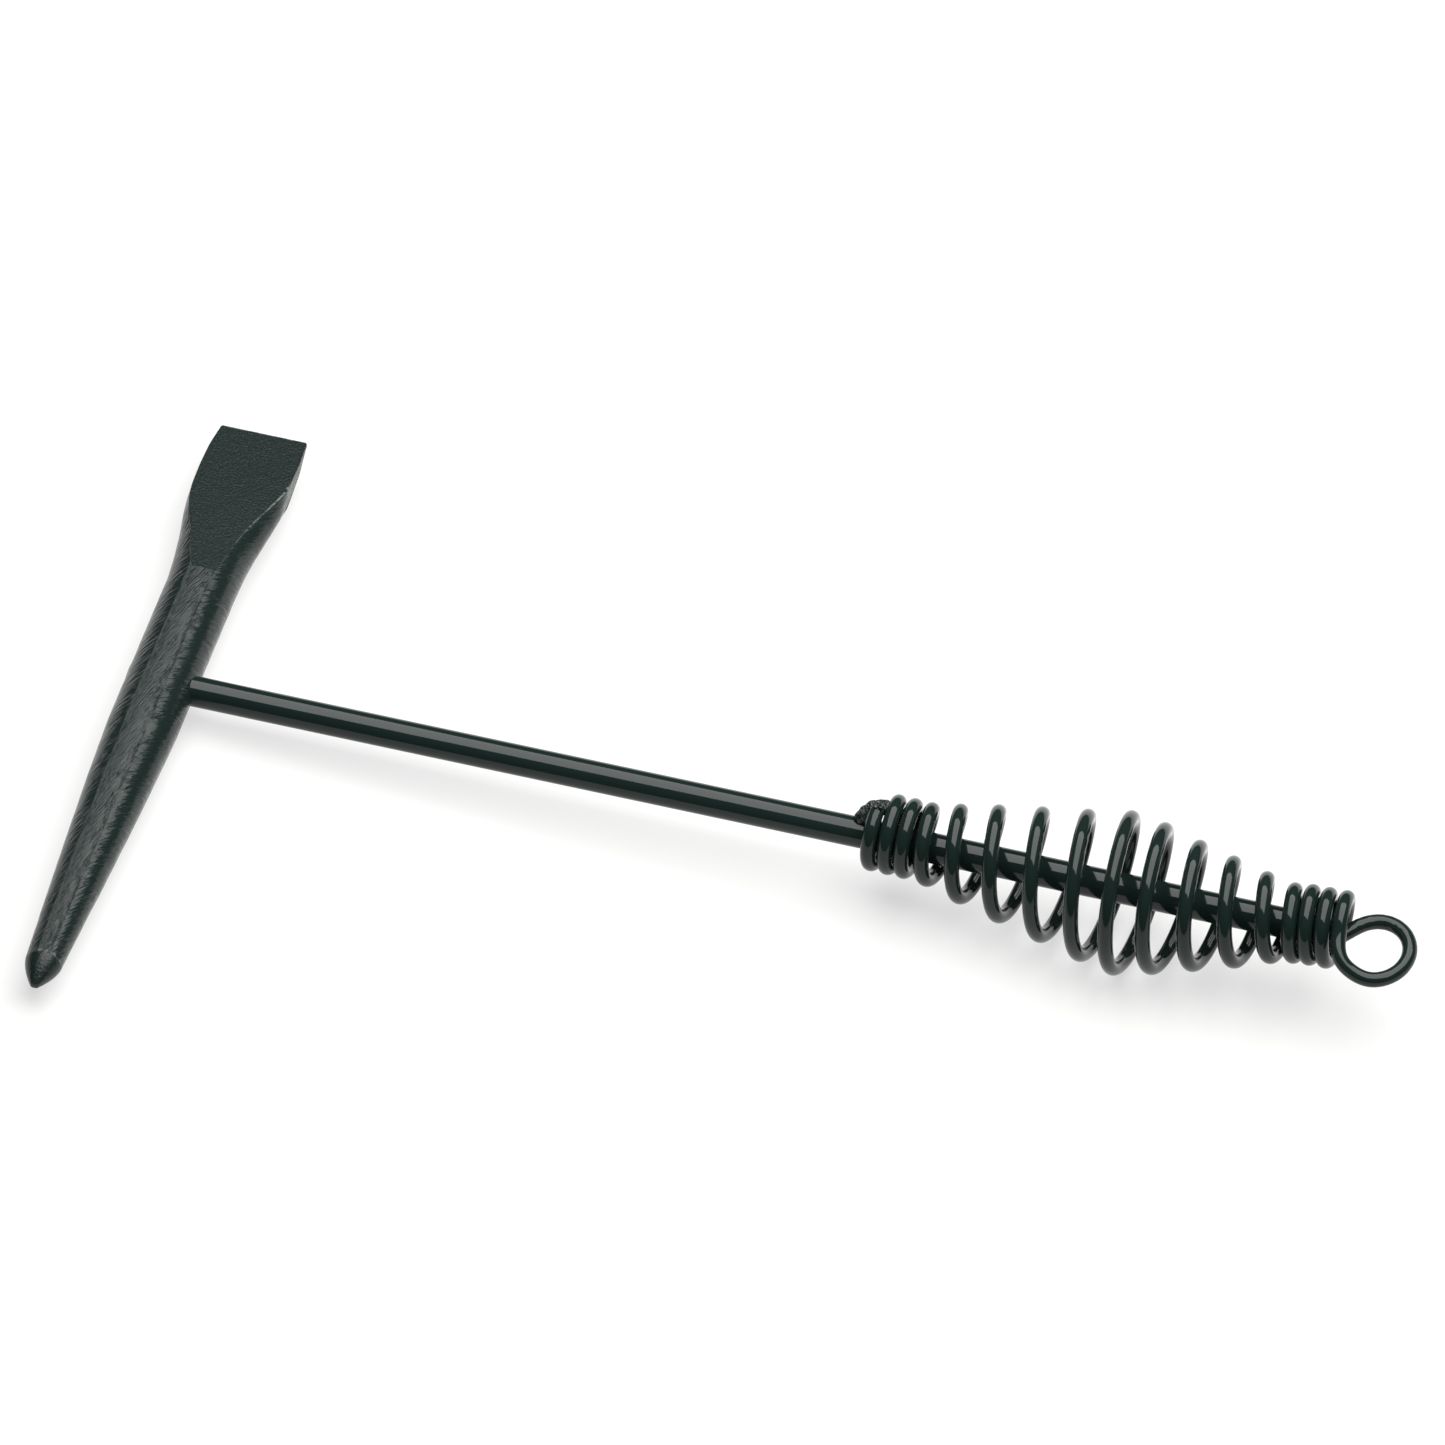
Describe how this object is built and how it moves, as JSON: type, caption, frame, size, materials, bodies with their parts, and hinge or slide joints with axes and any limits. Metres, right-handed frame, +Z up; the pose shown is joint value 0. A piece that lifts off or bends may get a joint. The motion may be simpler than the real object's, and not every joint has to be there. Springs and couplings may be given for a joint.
{
  "type": "chipping hammer",
  "caption": "Welder's chipping hammer: forged head with chisel and pick, round bar handle, barrel-shaped wire spring grip and hanging ring.",
  "frame": {"origin": "bottom centre of the hammer's box as it lies on its side, on the plane it rests on", "axes": "+X along the handle from the head to the hanging ring, +Y towards the chisel end of the head, +Z up"},
  "size_m": [0.343, 0.1932, 0.0423],
  "materials": {
    "forged_enamel": "dark green-black gloss enamel over forged steel",
    "bar_enamel": "dark green-black gloss enamel over drawn steel bar",
    "wire_enamel": "dark green-black gloss enamel over spring wire",
    "weld_enamel": "dark green-black gloss enamel over rough weld metal"
  },
  "bodies": {
    "root": {"head": "forged_enamel", "handle_rod": "bar_enamel", "spring_grip": "wire_enamel", "eye_weld": "weld_enamel", "front_weld": "weld_enamel", "loop_weld": "weld_enamel"}
  },
  "joints": []
}
